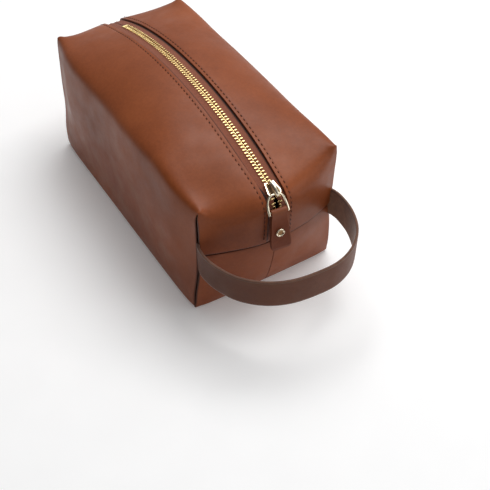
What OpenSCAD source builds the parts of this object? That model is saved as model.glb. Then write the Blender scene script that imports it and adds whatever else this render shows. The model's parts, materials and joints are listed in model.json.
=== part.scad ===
// Boxed leather shaving kit bag: two leather panels closed by a curved zipper, with a fork-and-tab puller
// and a leather loop handle at the front end.
// Millimetres. The origin is the middle of the resting face, X is the width, Y the length, +Z is up.
// The front end, with the handle, points toward -Y.

/* [Bag] */
// Width across the side walls
bag_width = 127; // [110:1:150]
// Length between the corner seams
bag_length = 240.6; // [220:0.1:280]
// Height of the side walls at the fold of the top
wall_height = 113; // [95:1:125]
// Height of the zipper at the middle of the bag
crown_height = 129; // [122:1:140]
// Radius of the arc that the zipper follows from end to end
crown_radius = 330; // [300:5:400]
// How far each end bulges beyond its corner seams
end_bulge = 16.7; // [12:0.1:20]
// Height of the level seam across each end
seam_height = 57; // [45:1:65]
// Half length of the mouth, where the top flaps lift
mouth_half = 85; // [70:1:95]

/* [Leather] */
// Thickness of the panels
leather = 1.8; // [1.4:0.1:2.4]
// Radius of the folded edges along the side walls
edge_radius = 5; // [3:0.5:8]
// Thickness of the lining cloth
lining = 0.5; // [0.4:0.1:0.8]

/* [Zipper] */
// Half width of the gap between the two leather edges
gap_half = 9.5; // [9.2:0.1:11]
// Half width of the whole zipper, out to the hidden edge of its tape
tape_half = 16; // [14:0.5:17]
// Thickness of the tape
tape = 0.65; // [0.5:0.05:0.8]
// Distance from one tooth to the next in the same row
tooth_pitch = 2.85; // [2.3:0.05:3]
// Half width of the closed chain of teeth
chain_half = 3; // [2.8:0.1:3.2]

/* [Slider and puller] */
// Length of the slider along the zipper
slider_length = 11; // [10:0.5:14]
// Widest half width of the slider
slider_half = 5.4; // [5:0.1:6]
// Distance from the fork's hinge to its bar
fork_length = 12.5; // [11:0.5:16]
// Half distance between the inner sides of the fork's arms
fork_half = 6.8; // [6.6:0.1:7.6]
// Radius of the fork's wire
wire = 0.7; // [0.5:0.05:0.75]
// Length of the pull tab below the bar
tab_length = 34; // [30:1:35]
// Thickness of the folded pull tab
tab = 2.6; // [2:0.1:3.2]
// Radius of the rivet's cap
rivet_radius = 3.5; // [3:0.1:4]

/* [Handle] */
// Height of the handle strap
strap_height = 25; // [20:1:30]
// Thickness of the handle strap
strap = 2.8; // [2:0.1:3.5]
// Height of the strap's middle line
strap_z = 58.5; // [50:0.5:60]
// How far the handle stands out from the corner seams
handle_reach = 66.7; // [60:0.1:80]

/* [Hidden] */
$fn = 48;

big = 400;
seam = 0.1;
joint_line = 0.3;

half_w = bag_width / 2;
half_l = bag_length / 2;
face_y = half_l + end_bulge;
bottom_y = half_l - 2;
slope_top = seam_height + 8;
crown_flat = tape_half + 1;
mouth_z = wall_height - edge_radius;
bow = (half_w * half_w + end_bulge * end_bulge) / (2 * end_bulge);

// the zipper's arc turns about a line below the bag, parallel to X
axis_z = crown_height - crown_radius;
end_radius = 7;
end_y = face_y - end_radius;
end_z = axis_z + sqrt(pow(crown_radius - end_radius, 2) - end_y * end_y);
end_angle = asin(end_y / (crown_radius - end_radius));

// depth of the tape's middle under the leather's outer surface
tape_depth = leather + 0.1 + tape / 2;
tape_r = crown_radius - tape_depth;
flap_angle = asin((mouth_half - joint_line) / tape_r);
pitch_angle = tooth_pitch / tape_r * 180 / PI;
tooth_thick = 1.1;
tooth_tall = 2.4;
stitch_pitch = 4;
stitch_x = gap_half + 3.2;
stitch_y = face_y - bow + sqrt(bow * bow - stitch_x * stitch_x);
lining_depth = leather + tape + 0.25;

// the slider rests just above the front end and stops short of the bottom stop
slider_angle = end_angle - (slider_length / 2 + 0.1) / tape_r * 180 / PI;
stop_angle = -18.6;
channel = 1.75;
plate = 1.1;
hook_y = -slider_length / 2 + 0.3;
hook_z = channel + plate + 1.35;

// the fork's bar, from the hinge, with the slider at rest
fork_drop = 59;
hinge_y = -tape_r * sin(slider_angle) + hook_y * cos(slider_angle) - hook_z * sin(slider_angle);
hinge_z = axis_z + tape_r * cos(slider_angle) + hook_y * sin(slider_angle) + hook_z * cos(slider_angle);
bar_y = hinge_y - fork_length * cos(fork_drop);
bar_z = hinge_z - fork_length * sin(fork_drop);
tab_lean = 5;
tab_top_half = 6.2;
tab_foot_half = 8.3;
fold_radius = 2;
rivet_drop = 20;
knuckle = wire + 0.08;

// the strap's round ends turn beside the corner seams
strap_lug = strap_height / 2;
pivot_y = half_l + 1.6 + strap_lug;
strap_x = half_w - strap / 2 + 0.3;
turn_radius = 40;
turn_x = strap_x - turn_radius;
strap_depth = half_l + handle_reach - pivot_y - strap / 2;
bow_radius = (turn_x * turn_x + strap_depth * strap_depth - turn_radius * turn_radius)
    / (2 * (strap_depth - turn_radius));
bow_y = -pivot_y - strap_depth + bow_radius;
bow_angle = -atan2(bow_y + pivot_y, turn_x);

leather_color = "#8a4f30";
strap_color = "#5c3a2a";
brass_color = "#e3c77a";
tape_color = "#7d4430";

// ---- outlines of the bag, each drawn in by a depth d ----

// seen from the front: X across, Z up
module front_outline(d) {
    r = edge_radius - d;
    lean = atan((crown_height + 0.4 - wall_height) / (half_w - edge_radius - crown_flat));
    roll_x = half_w - edge_radius + max(r, 0.2) * sin(lean);
    roll_z = mouth_z + max(r, 0.2) * cos(lean);
    peak_z = roll_z + (roll_x - crown_flat) * tan(lean);
    polygon([[-half_w + edge_radius, d], [half_w - edge_radius, d], [half_w - d, edge_radius],
        [half_w - d, mouth_z], [roll_x, roll_z], [crown_flat, peak_z],
        [-crown_flat, peak_z], [-roll_x, roll_z], [-half_w + d, mouth_z], [-half_w + d, edge_radius]]);
    for (x = [-1, 1], z = [edge_radius, mouth_z])
        translate([x * (half_w - edge_radius), z]) circle(max(r, 0.2));
}

// seen from the side: Y along, Z up
module side_outline(d) {
    r = end_radius - d;
    top_y = end_y + r * sin(end_angle);
    top_z = end_z + r * cos(end_angle);
    intersection() {
        translate([0, axis_z]) circle(crown_radius - d, $fn = 180);
        union() {
            polygon([[-bottom_y + d, d], [bottom_y - d, d], [face_y - d, slope_top], [face_y - d, end_z],
                [top_y, top_z], [end_y - 30, crown_height + 8], [-end_y + 30, crown_height + 8],
                [-top_y, top_z], [-face_y + d, end_z], [-face_y + d, slope_top]]);
            for (y = [-1, 1]) translate([y * end_y, end_z]) circle(r);
        }
    }
}

module bag_solid(d) {
    intersection() {
        translate([0, big / 2, 0]) rotate([90, 0, 0]) linear_extrude(big) front_outline(d);
        translate([-big / 2, 0, 0]) rotate([90, 0, 90]) linear_extrude(big) side_outline(d);
        linear_extrude(big) plan_outline(d);
    }
}

// seen from above: X across, Y along, with each half bowed outward at its end
module plan_outline(d) {
    for (y = [-1, 1]) intersection() {
        translate([0, y * (face_y - bow)]) circle(bow - d, $fn = 120);
        translate([-half_w + d, y > 0 ? 0 : -big]) square([bag_width - 2 * d, big]);
    }
}

module shell(d, t) {
    difference() {
        bag_solid(d);
        bag_solid(d + t);
    }
}

// room between the two leather edges, from the top down to the end seams
module zipper_gap() {
    translate([-gap_half, -big / 2, seam_height]) cube([2 * gap_half, big, big]);
}

// the part of the top that lifts, on the side named by x = -1 or 1
module mouth_side(x, slack) {
    translate([x > 0 ? 0 : -big, -mouth_half + slack, mouth_z + slack])
        cube([big, 2 * (mouth_half - slack), big]);
}

module half_space(x) {
    translate([x > 0 ? seam / 2 : -big - seam / 2, -big / 2, -1]) cube([big, big, big]);
}

// ---- fixed leather and lining ----

// one panel: side wall, half of the bottom, half of each end and the ends of its top
module body_panel(x) {
    color(leather_color) difference() {
        intersection() {
            shell(0, leather);
            half_space(x);
        }
        zipper_gap();
        mouth_side(x, 0);
        for (y = [-1, 1]) seam_groove(y);
    }
}

// shallow line around an end where its upper and lower leather are sewn together
module seam_groove(y) {
    difference() {
        translate([-big / 2, y > 0 ? half_l + 1 : -half_l - 1 - big, seam_height - 0.5]) cube([big, big, 0.6]);
        translate([0, 0, -1]) linear_extrude(big) plan_outline(leather / 2);
    }
}

module left_body_panel() { body_panel(-1); }
module right_body_panel() { body_panel(1); }

module body_lining() {
    color("#4a3a30") difference() {
        shell(lining_depth, lining);
        zipper_gap();
        mouth_side(-1, -2);
        mouth_side(1, -2);
    }
}

// ---- the zipper's arc ----

module on_arc(angle) {
    translate([0, 0, axis_z]) rotate([angle, 0, 0]) children();
}

// a strip of the arc between two angles, from x1 to x2, between two radii
module arc_strip(from, to, x1, x2, r1, r2) {
    translate([0, 0, axis_z]) rotate([to, 0, 0]) rotate([0, -90, 0])
        rotate_extrude(angle = to - from, $fn = 180)
            translate([r1, -x2]) square([r2 - r1, x2 - x1]);
}

module tape_arc(from, to, x1, x2) {
    arc_strip(from, to, x1, x2, tape_r - tape / 2, tape_r + tape / 2);
}

// the front ends of both tapes follow the leather over the roll and down to the level seam
module tape_end_pair() {
    strip = tape_half - chain_half - 0.1;
    color(tape_color) intersection() {
        shell(leather + 0.1, tape);
        for (x = [chain_half + 0.1, -tape_half])
            translate([x, -mouth_half - 0.5 - big, seam_height + 0.5]) cube([strip, big, big]);
    }
}

module front_tape_ends() { tape_end_pair(); }
module rear_tape_ends() { mirror([0, 1, 0]) tape_end_pair(); }

// one brass tooth of the side named by x, standing on the arc at an angle
module tooth(x, angle, shift = 0) {
    reach = 0.5;
    on_arc(angle) translate([x * (shift + (chain_half - reach) / 2), 0, tape_r])
        cube([chain_half + reach, tooth_thick, tooth_tall], center = true);
}

// a meshed stretch of teeth, the right row half a pitch behind the left row
module teeth_row(x, from, to) {
    offset_angle = x > 0 ? pitch_angle / 2 : 0;
    color(brass_color) for (a = [from + offset_angle : pitch_angle : to]) tooth(x, a);
}

module front_teeth() {
    first = flap_angle + 0.35;
    last = slider_angle - 0.3;
    for (x = [-1, 1]) teeth_row(x, first, last);
    color(brass_color) for (x = [-1, 1], k = [0, 1])
        translate([x * (chain_half + 0.9), 0, 0]) end_tooth(k);
}

// loose teeth below the resting slider, on the turn of the tape
module end_tooth(k) {
    r = end_radius - tape_depth;
    translate([0, -end_y, end_z]) rotate([end_angle + 26 + 22 * k, 0, 0]) translate([0, 0, r + tape])
        cube([2, tooth_thick, tape], center = true);
}

module rear_teeth() {
    for (x = [-1, 1]) teeth_row(x, stop_angle + 0.4, -flap_angle - 0.35);
}

// two brass clips beyond the resting slider
module top_stops() {
    r = end_radius - tape_depth;
    color(brass_color) for (x = [-1, 1])
        translate([x * (chain_half + 1.1), -end_y - r - tape, end_z - 6]) cube([2.2, tape, 3], center = true);
}

// one brass clip that joins both rows behind the teeth
module bottom_stop() {
    color(brass_color) on_arc(stop_angle) translate([0, 0, tape_r])
        cube([2 * chain_half, 2.4, tooth_tall], center = true);
}

// ---- stitching beside the zipper ----

// thread stitches between two angles along the leather edge on side x
module stitch_row(x, from, to) {
    step = stitch_pitch / crown_radius * 180 / PI;
    color("#4a2415") for (a = [from : step : to])
        on_arc(a) translate([x * stitch_x, 0, crown_radius + 0.2]) cube([0.8, 2.7, 0.3], center = true);
}

module end_stitches() {
    for (x = [-1, 1]) {
        stitch_row(x, flap_angle + 0.9, end_angle);
        stitch_row(x, -end_angle, -flap_angle - 0.9);
        for (y = [-1, 1]) color("#4a2415")
            for (z = [slope_top + 1.5 : stitch_pitch : end_z])
                translate([x * stitch_x, y * (stitch_y + 0.2), z]) cube([0.8, 0.3, 2.7], center = true);
    }
}

module left_stitches() { stitch_row(-1, -flap_angle + 0.6, flap_angle - 0.5); }
module right_stitches() { stitch_row(1, -flap_angle + 0.6, flap_angle - 0.5); }

// ---- the flaps of the mouth ----

module flap_leather(x) {
    color(leather_color) difference() {
        intersection() {
            shell(0, leather);
            mouth_side(x, joint_line / 2);
        }
        zipper_gap();
    }
}

module flap_cloth(x) {
    color("#4a3a30") difference() {
        intersection() {
            shell(lining_depth, lining);
            mouth_side(x, joint_line / 2 + 0.5);
        }
        zipper_gap();
    }
}

module left_top_panel() { flap_leather(-1); }
module right_top_panel() { flap_leather(1); }
module left_flap_lining() { flap_cloth(-1); }
module right_flap_lining() { flap_cloth(1); }

module right_tape() {
    color(tape_color) tape_arc(-flap_angle + 0.05, flap_angle - 0.05, chain_half + 0.1, tape_half);
}

module left_tape() { mirror([1, 0, 0]) right_tape(); }

module left_teeth() { teeth_row(-1, -flap_angle + 0.3, flap_angle - 0.2); }
module right_teeth() { teeth_row(1, -flap_angle + 0.3, flap_angle - 0.2); }

// ---- slider ----

module at_slider() {
    on_arc(slider_angle) translate([0, 0, tape_r]) children();
}

// outline of the slider's wings, wide at the front, where the rows part
module slider_outline() {
    front = -slider_length / 2;
    polygon([[-4.1, -front], [4.1, -front], [slider_half, front + 3.5], [slider_half - 0.5, front],
        [1.6, front + 1.2], [-1.6, front + 1.2], [-slider_half + 0.5, front], [-slider_half, front + 3.5]]);
}

// the side walls, split by a slot for the tape
module slider_flanks() {
    front = -slider_length / 2;
    for (x = [0, 1]) mirror([x, 0, 0])
        polygon([[3.5, -front - 0.4], [4.1, -front - 0.4], [slider_half, front + 3.5],
            [slider_half - 0.7, front + 3.5]]);
}

module slider_body() {
    color(brass_color) at_slider() {
        for (z = [channel, -channel - plate]) translate([0, 0, z]) linear_extrude(plate) slider_outline();
        for (z = [0.6, -channel]) translate([0, 0, z]) linear_extrude(channel - 0.6) slider_flanks();
        translate([0, -slider_length / 2 + 3, 0]) cylinder(h = 2 * channel + 0.2, r = 1.1, center = true);
    }
}

// arched bridge on the upper wing, bored at its round nose for the fork's wire
module slider_bridge() {
    top = channel + plate;
    rear = slider_length / 2 - 1.4;
    nose_radius = 1.9;
    nose = [for (a = [70 : 20 : 250])
        [hook_y + nose_radius * cos(a), max(top, hook_z + nose_radius * sin(a))]];
    arch = [[rear, top], [rear, top + 1.8], [rear - 2.6, top + 3.6], [hook_y + 3.5, top + 4.4]];
    color(brass_color) at_slider() rotate([90, 0, 90]) linear_extrude(2.6, center = true) difference() {
        polygon(concat(nose, arch));
        translate([hook_y, hook_z]) circle(wire + 0.08);
    }
}

// ---- puller ----

// a wire rod between two points
module rod(a, b, r) {
    d = b - a;
    translate(a) rotate([0, acos(d.z / norm(d)), atan2(d.y, d.x)]) cylinder(h = norm(d), r = r, $fn = 24);
    translate(b) sphere(knuckle, $fn = 24);
}

module puller_fork() {
    bend = [0, (hinge_y * 2 + bar_y) / 3, (hinge_z * 2 + bar_z) / 3];
    color(brass_color) {
        translate([-4.6, hinge_y, hinge_z]) rotate([0, 90, 0]) cylinder(h = 9.2, r = wire, $fn = 32);
        for (x = [-1, 1]) {
            translate([x * 4.6, hinge_y, hinge_z]) sphere(knuckle, $fn = 24);
            rod([x * 4.6, hinge_y, hinge_z], [x * (fork_half + wire), bend.y, bend.z], wire);
            rod([x * (fork_half + wire), bend.y, bend.z], [x * (fork_half + wire), bar_y, bar_z], wire);
        }
    }
}

// the bar that the folded tab hangs from
module puller_bar() {
    half = fork_half - 0.1;
    color(brass_color) translate([-half, bar_y, bar_z]) rotate([0, 90, 0])
        cylinder(h = 2 * half, r = wire, $fn = 32);
}

// places a shape whose own Z runs up the tab and whose origin is the bar
module at_bar() {
    translate([0, bar_y, bar_z]) rotate([-tab_lean, 0, 0]) children();
}

module pull_tab() {
    color("#6e3d26") at_bar() difference() {
        union() {
            rotate([90, 0, 0]) linear_extrude(tab, center = true)
                polygon([[-tab_top_half, 0], [tab_top_half, 0],
                    [tab_foot_half, -tab_length], [-tab_foot_half, -tab_length]]);
            rotate([0, 90, 0]) cylinder(h = 2 * tab_top_half, r = fold_radius, center = true);
        }
        rotate([0, 90, 0]) cylinder(h = 40, r = wire + 0.05, center = true, $fn = 32);
        translate([0, 0, -rivet_drop]) rotate([90, 0, 0]) cylinder(h = 10, r = 1.3, center = true, $fn = 32);
    }
}

module rivet_cap() {
    color(brass_color) at_bar() translate([0, -tab / 2, -rivet_drop]) rotate([90, 0, 0]) difference() {
        cylinder(h = 1, r = rivet_radius);
        translate([0, 0, 0.4]) cylinder(h = 1, r = rivet_radius - 1.1);
    }
}

module rivet_back() {
    color(brass_color) at_bar() translate([0, tab / 2, -rivet_drop]) rotate([90, 0, 0]) {
        cylinder(h = tab, r = 1.25, $fn = 32);
        translate([0, 0, -0.8]) cylinder(h = 0.8, r = 3, $fn = 32);
    }
}

// ---- handle ----

// points on one side of the strap, a distance d from its middle line, from the right end to the left end
function turn_points(side, d) = [for (k = [0 : 6])
    let (a = bow_angle * (side > 0 ? k : 6 - k) / 6)
    [side * (turn_x + (turn_radius + d) * cos(a)), -pivot_y + (turn_radius + d) * sin(a)]];
function bow_points(d) = [for (k = [1 : 23])
    let (a = bow_angle - (180 + 2 * bow_angle) * k / 24)
    [(bow_radius + d) * cos(a), bow_y + (bow_radius + d) * sin(a)]];
function strap_side(d) = concat([[strap_x + d, 0]], turn_points(1, d), bow_points(d),
    turn_points(-1, d), [[-strap_x - d, 0]]);
function reversed(list) = [for (k = [len(list) - 1 : -1 : 0]) list[k]];

// seen from the side, the strap ends in half rounds beside the corner seams
module strap_profile() {
    translate([-pivot_y - big, strap_z - strap_height / 2]) square([big, strap_height]);
    translate([-pivot_y, strap_z]) circle(strap_lug, $fn = 64);
}

module handle_strap() {
    color(strap_color) intersection() {
        linear_extrude(big) polygon(concat(strap_side(strap / 2), reversed(strap_side(-strap / 2))));
        translate([-big / 2, 0, 0]) rotate([90, 0, 90]) linear_extrude(big) strap_profile();
    }
}

left_body_panel();
right_body_panel();
body_lining();
front_tape_ends();
rear_tape_ends();
front_teeth();
rear_teeth();
top_stops();
bottom_stop();
end_stitches();
left_top_panel();
right_top_panel();
left_flap_lining();
right_flap_lining();
left_tape();
right_tape();
left_teeth();
right_teeth();
left_stitches();
right_stitches();
slider_body();
slider_bridge();
puller_fork();
puller_bar();
pull_tab();
rivet_cap();
rivet_back();
handle_strap();
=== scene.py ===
import json
import math

import bmesh
import bpy
from mathutils import Matrix, Vector, noise


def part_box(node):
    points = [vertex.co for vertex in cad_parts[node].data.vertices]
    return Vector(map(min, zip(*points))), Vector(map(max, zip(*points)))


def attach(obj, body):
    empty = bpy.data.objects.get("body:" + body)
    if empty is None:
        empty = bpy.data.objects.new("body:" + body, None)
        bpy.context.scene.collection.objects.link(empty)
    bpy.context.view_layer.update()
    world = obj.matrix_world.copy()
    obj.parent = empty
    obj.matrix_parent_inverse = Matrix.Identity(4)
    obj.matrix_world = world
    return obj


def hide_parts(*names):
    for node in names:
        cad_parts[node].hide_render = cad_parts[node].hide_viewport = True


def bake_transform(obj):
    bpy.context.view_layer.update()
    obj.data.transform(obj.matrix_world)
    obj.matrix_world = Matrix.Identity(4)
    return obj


# Looks of a boxed leather shaving kit bag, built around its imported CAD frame. The front end faces -Y.

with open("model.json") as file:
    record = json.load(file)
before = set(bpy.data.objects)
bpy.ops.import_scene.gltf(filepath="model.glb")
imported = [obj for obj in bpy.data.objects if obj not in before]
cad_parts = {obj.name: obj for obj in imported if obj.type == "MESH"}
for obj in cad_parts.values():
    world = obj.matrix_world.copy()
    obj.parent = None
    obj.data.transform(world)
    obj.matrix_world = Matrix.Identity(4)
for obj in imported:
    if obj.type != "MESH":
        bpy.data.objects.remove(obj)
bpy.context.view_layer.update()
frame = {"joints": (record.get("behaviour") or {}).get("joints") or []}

# ---------------------------------------------------------------- sizes, in millimetres, from the frame

MM = 0.001


def joint_point(name):
    joint = next(j for j in frame["joints"] if j["name"] == name)
    return [c / MM for c in joint["pos_m"]]


panel_lo, panel_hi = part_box("left_body_panel")
HALF_W = -panel_lo.x / MM
FACE_Y = -panel_lo.y / MM
EDGE_R = 5.0
WALL_TOP = joint_point("left_flap_fold")[2] + EDGE_R
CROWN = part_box("left_top_panel")[1].z / MM
ARC_Z = joint_point("slider_travel")[2]
ARC_R = CROWN - ARC_Z
HINGE = joint_point("fork_swing")
BAR = joint_point("tab_swing")
STRAP_LO, STRAP_HI = [[c / MM for c in corner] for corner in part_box("handle_strap")]

BULGE = 16.7
HALF_L = FACE_Y - BULGE
GAP = 9.5
LEATHER = 1.8
TAPE_R = ARC_R - 2.225
END_R = 15.0
END_Y = FACE_Y - END_R
END_Z = ARC_Z + math.sqrt((ARC_R - END_R) ** 2 - END_Y ** 2)
END_ANGLE = math.asin(END_Y / (ARC_R - END_R))
TOOTH_STEP = 2.85 / TAPE_R
HOOK = (-5.2, 4.2)
SLIDER_ANGLE = math.atan2(-HINGE[1], HINGE[2] - ARC_Z) - math.atan2(-HOOK[0], TAPE_R + HOOK[1])
STITCH_X = 12.3
STITCH_STEP = 4.25
TAPE_DEPTH = 2.2
TAPE_END_Z = 59
ROW_START = -math.radians(18.1)
BOTTOM_STOP = -math.radians(18.6)
STRAP_THICK = 2.3
MOUTH_FRONT, MOUTH_REAR = 98.0, 84.5
SEAM_R = 1.1
LEFT, RIGHT = -1, 1
FRONT, REAR = -1, 1
noise.seed_set(5)


def lerp(a, b, t):
    return a + (b - a) * t


def smooth(t):
    t = min(1.0, max(0.0, t))
    return t * t * (3 - 2 * t)


def bezier(a, b, c, t):
    return tuple((1 - t) ** 2 * p + 2 * t * (1 - t) * q + t * t * r for p, q, r in zip(a, b, c))


def catmull(points, per_span):
    """A smooth run of points through the given ones."""
    points = [Vector(p) for p in points]
    padded = [2 * points[0] - points[1], *points, 2 * points[-1] - points[-2]]
    out = []
    for a, b, c, d in zip(padded, padded[1:], padded[2:], padded[3:]):
        for k in range(per_span):
            t = k / per_span
            out.append(0.5 * (2 * b + (c - a) * t + (2 * a - 5 * b + 4 * c - d) * t ** 2
                              + (3 * b - a - 3 * c + d) * t ** 3))
    return [*out, points[-1]]


# ---------------------------------------------------------------- the bag's outer surface

def arc_height(y):
    return ARC_Z + math.sqrt(ARC_R ** 2 - y * y)


def top_height(x, y):
    """Height of the top leather: level with the zipper's arc at its edge, falling to the fold."""
    t = min(1.0, max(0.0, (x - GAP) / (HALF_W - EDGE_R - GAP)))
    height = lerp(WALL_TOP + 0.8, arc_height(y), 1 - t ** 2.1)
    return height - 0.28 * math.exp(-((x - STITCH_X) / 0.9) ** 2)


def wall_out(y, z):
    return HALF_W + 1.2 * math.sin(math.pi * (z / WALL_TOP) ** 1.6) * (1 - (y / HALF_L) ** 4)


def face_out(x, z):
    """How far the end face stands out at a height: drawn in at the foot, bowed between the corner seams."""
    bow = BULGE * (1 - min(1.0, abs(x) / HALF_W) ** 2) ** 1.2
    lift = math.sin(0.5 * math.pi * min(1.0, max(0.0, z) / 88)) ** 0.8
    return HALF_L - 1.4 * max(0.0, 1 - z / 20) ** 2 + bow * lift


def seam_height(x, side):
    """Height of the level seam across an end: it hangs a little lower on the right."""
    return 58.5 - 1.0 * (x / HALF_W) ** 2 - (2.5 * (x / HALF_W) ** 2 if side == RIGHT else 0)


def along(stops, at):
    """A value eased between (place, value) stops."""
    for (a, va), (b, vb) in zip(stops, stops[1:]):
        if at <= b:
            return lerp(va, vb, smooth((at - a) / (b - a)))
    return stops[-1][1]


# how far each corner seam is drawn in at a height, and how far each top corner droops
DRAWN_IN = {LEFT: ((0, 0.6), (14, 1.5), (42, 5.0), (108, 5.4)),
            RIGHT: ((0, 0.1), (30, 1.4), (56, 4.4), (78, 2.4), (112, 0.1))}
DROOP = {(LEFT, FRONT): 11.5, (RIGHT, FRONT): 0.2, (LEFT, REAR): 3.0, (RIGHT, REAR): 2.0}


def zip_taper(y, z):
    """The leather edges close in a little over the ends of the zipper."""
    return 1.0 * smooth((abs(y) - 90) / 35) * smooth((z - 54) / 6)


def settle(p, side):
    """The set of a used bag: seams drawn in, a drooping ear, rounded corners and feet."""
    x, y, z = p
    end, sign = abs(y), (1 if y > 0 else -1)
    out = max(0.0, (x - 20) / (HALF_W - 20)) ** 1.5
    x -= along(DRAWN_IN[side], z) * smooth((end - 84) / 36) * out
    drop = DROOP[side, FRONT if y < 0 else REAR]
    drop *= smooth((end - 66) / 54) * smooth((p[0] - 12) / 48) * smooth((z - 62) / 46)
    corner = smooth((p[0] - 49) / 14) * smooth((end - 106) / 14)
    cut = corner * (1.3 * smooth((22 - z) / 22) + 0.5 * smooth((z - 98) / 12))
    x -= cut + zip_taper(y, z) * (1 - smooth((p[0] - 10) / 30))
    return x, y - sign * cut, z - drop


def lens(y):
    """How much of the flap's turn a point along the mouth follows."""
    reach = MOUTH_FRONT if y < 0 else MOUTH_REAR
    return max(0.0, math.cos(0.5 * math.pi * min(1.0, abs(y) / reach))) ** 1.25


def flap_share(x, y, z):
    if z < WALL_TOP - EDGE_R:
        return 0.0
    return lens(y) * smooth((HALF_W - abs(x)) / 14)


class Sheet:
    """Points in millimetres and quads, gathered for the right half and mirrored for the left."""

    def __init__(self):
        self.points, self.quads, self.edge_tone_and_painted_shade = [], [], []

    def point(self, p, edge_tone_and_painted_shade=0.0):
        self.points.append(tuple(p))
        self.edge_tone_and_painted_shade.append(edge_tone_and_painted_shade)
        return len(self.points) - 1

    def row(self, points, edge_tone_and_painted_shade=0.0):
        return [self.point(p, edge_tone_and_painted_shade) for p in points]

    def strip(self, a, b):
        for i in range(len(a) - 1):
            self.quads.append((a[i], a[i + 1], b[i + 1], b[i]))

    def grid(self, rows):
        for a, b in zip(rows, rows[1:]):
            self.strip(a, b)


def new_object(name, mesh, *materials):
    obj = bpy.data.objects.new(name, mesh)
    bpy.context.scene.collection.objects.link(obj)
    for m in materials:
        mesh.materials.append(m)
    return obj


def mesh_from(name, points, faces, edge_tone_and_painted_shade=None, uvs=None):
    mesh = bpy.data.meshes.new(name)
    mesh.from_pydata([tuple(c * MM for c in p) for p in points], [], faces)
    if uvs:
        layer = mesh.uv_layers.new(name="UVMap")
        for loop in mesh.loops:
            layer.data[loop.index].uv = uvs[loop.vertex_index]
    if edge_tone_and_painted_shade:
        mesh.attributes.new("edge_tone_and_painted_shade", "FLOAT", "POINT").data.foreach_set("value", edge_tone_and_painted_shade)
    mesh.polygons.foreach_set("use_smooth", [True] * len(mesh.polygons))
    mesh.update()
    return mesh


# ---------------------------------------------------------------- leather panels

BOTTOM_X = (0.55, 4, 10, 18, 27, 36, 45, 52)
WALL_Z = (9, 16, 26, 37, 48, 59, 70, 81, 90, 97)
TOP_X = (54.5, 50, 44, 37.5, 31, 25, 20, 16.5, 14.3, 13.4, STITCH_X, 12.0, 11.2, 10.2, GAP)
COLUMNS = ([("bottom", x) for x in BOTTOM_X] + [("low", t) for t in (0.0, 0.25, 0.5, 0.75, 1.0)]
           + [("wall", z) for z in WALL_Z] + [("high", t) for t in (0.0, 0.25, 0.5, 0.75)]
           + [("top", x) for x in TOP_X])
LOW_CORNER = COLUMNS.index(("low", 0.5))
HIGH_CORNER = COLUMNS.index(("high", 0.5))
LENGTHS = (0, .015, .035, .06, .09, .12, .16, .2, .25, .3, .36, .43, .5,
           .57, .64, .7, .75, .8, .84, .88, .91, .94, .965, .985, 1)


def corner_open(z):
    """How far the corner seam's rolled edges have opened out below the ear and above the foot."""
    return lerp(0.12, 1.0, smooth((WALL_TOP - 2 - z) / 9) * smooth((z - 0.5) / 6))


def end_turn(x):
    """Length of the roll from the top to the end face: tight at the corner, full beside the zipper."""
    t = (x - GAP) / (HALF_W - GAP)
    return lerp(9.9, 4.5, t) + 9 * math.sin(math.pi * min(1.0, max(0.0, t))) ** 1.1


def column_reach(column):
    """Distance from the middle of the bag to where a column meets its end roll or corner seam."""
    kind, value = column
    foot = HALF_L - 4.6
    if kind == "bottom":
        return foot
    if kind == "low":
        return lerp(foot, HALF_L - 2.4 * SEAM_R, value) if value > 0.5 else lerp(foot, HALF_L - 2.9, value * 2)
    if kind == "wall":
        return HALF_L - 2.414 * SEAM_R * corner_open(value)
    if kind == "high":
        start = HALF_L - 2.414 * SEAM_R * corner_open(100)
        return lerp(start, HALF_L, value * 2) if value <= 0.5 else HALF_L - 0.4
    return face_out(value, 100) - end_turn(value)


def body_point(column, y):
    kind, value = column
    if kind == "bottom":
        return (value, y, 0)
    if kind == "low":
        return bezier((HALF_W - 6, y, 0), (HALF_W, y, 0), (wall_out(y, 6), y, 6), value)
    if kind == "wall":
        return (wall_out(y, value), y, value)
    if kind == "high":
        x0 = TOP_X[0] + 1.0
        z0 = top_height(x0, y)
        slope = (z0 - top_height(x0 - 1, y))
        corner = (HALF_W, y, z0 + slope * (HALF_W - x0))
        return bezier((wall_out(y, WALL_TOP - 8), y, WALL_TOP - 8), corner, (x0, y, z0), value)
    return (value, y, top_height(value, y))


def face_x(column, z):
    """Where a column lies across the end face."""
    kind, value = column
    corner = HALF_W - 2.414 * SEAM_R * corner_open(z)
    if kind in ("low", "high"):
        share = value * 2 if kind == "low" else (1 - value) * 2
        return lerp(min(54.0, corner - 4), corner, share) if share < 1 else corner
    return min(value, corner - 5)


def upper_end(column, start, end, side):
    """Points from the top's edge, over the roll and down the end face to the level seam."""
    kind, value = column
    x0, y0, z0 = start
    turn = end_turn(min(x0, HALF_W - 2)) if kind == "top" else 5.0
    z2 = z0 - turn - 1.5
    x2 = face_x(column, z2)
    p2 = (x2, end * face_out(x2, z2), z2)
    slope = (z0 - top_height(min(x0, 58), abs(y0) - 1)) if kind == "top" else 0
    reach = face_out(x2, z2) - abs(y0)
    p1 = ((x0 + x2) / 2, end * (face_out(x2, z2) + 0.1), z0 + slope * reach)
    out = [bezier(start, p1, p2, t) for t in (0.2, 0.4, 0.6, 0.8, 1.0)]
    last = seam_height(x2, side) + 2.5
    for k in range(1, 9):
        z = lerp(z2, last, k / 8)
        x = face_x(column, z)
        flare = 0.5 * math.exp(-(z - last) / 9)
        out.append((x, end * (face_out(x, z) + flare), z))
    return out


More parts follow.
